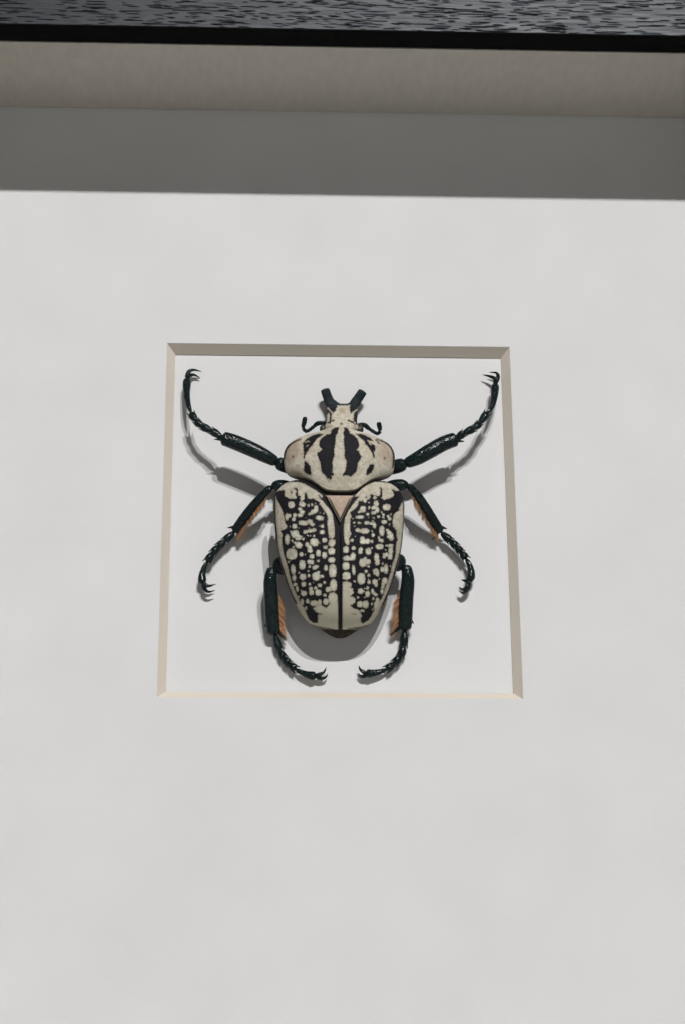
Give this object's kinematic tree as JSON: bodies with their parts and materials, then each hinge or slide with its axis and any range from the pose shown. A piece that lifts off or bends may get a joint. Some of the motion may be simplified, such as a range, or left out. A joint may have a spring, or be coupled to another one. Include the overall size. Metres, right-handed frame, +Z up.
{
  "type": "framed beetle",
  "caption": "Large spotted flower beetle with spread legs, mounted on a white board behind a bevelled mat window in a deep glazed shadow-box frame of black open-grain wood.",
  "frame": {"origin": "under the middle of the frame: halfway across its width and its depth, at the underside of the bottom rail", "axes": "+Z up the frame, +X to the viewer's right, -Y out of the glass towards the viewer"},
  "size_m": [0.362, 0.0694, 0.418],
  "materials": {
    "frame_wood": "black stain on open grain, satin",
    "glass": "clear, polished",
    "spacer_board": "off-white, matt",
    "mat": "off-white face with a faint weave, cream core in the bevel, matt",
    "backing": "smooth white, matt",
    "hardboard": "brown pressed board, dull",
    "steel": "zinc plated, satin",
    "bumper": "grey, dull",
    "patterned_shell": "cream scales with velvety black markings",
    "dark_shell": "green-black, glossy and pitted",
    "scutellum": "pinkish beige, silky",
    "foam": "white closed-cell foam"
  },
  "bodies": {
    "root": {"frame_rail_top": "frame_wood", "frame_rail_bottom": "frame_wood", "frame_rail_left": "frame_wood", "frame_rail_right": "frame_wood", "glazing_glass": "glass", "spacer_top": "spacer_board", "spacer_bottom": "spacer_board", "spacer_left": "spacer_board", "spacer_right": "spacer_board", "mat_board": "mat", "backing_board": "backing", "back_panel": "hardboard", "back_tab_1": "steel", "back_tab_2": "steel", "back_tab_3": "steel", "back_tab_4": "steel", "back_tab_5": "steel", "back_tab_6": "steel", "hanger_plate": "steel", "hanger_nail_left": "steel", "hanger_nail_right": "steel", "back_bumper_left": "bumper", "back_bumper_right": "bumper", "beetle_head": "patterned_shell", "beetle_antenna_left": "dark_shell", "beetle_antenna_right": "dark_shell", "beetle_pronotum": "patterned_shell", "beetle_scutellum": "scutellum", "beetle_elytron_left": "patterned_shell", "beetle_elytron_right": "patterned_shell", "beetle_hind_body": "dark_shell", "beetle_foreleg_left": "dark_shell", "beetle_foreleg_right": "dark_shell", "beetle_midleg_left": "dark_shell", "beetle_midleg_right": "dark_shell", "beetle_hindleg_left": "dark_shell", "beetle_hindleg_right": "dark_shell", "beetle_mount_peg": "foam"}
  },
  "joints": []
}
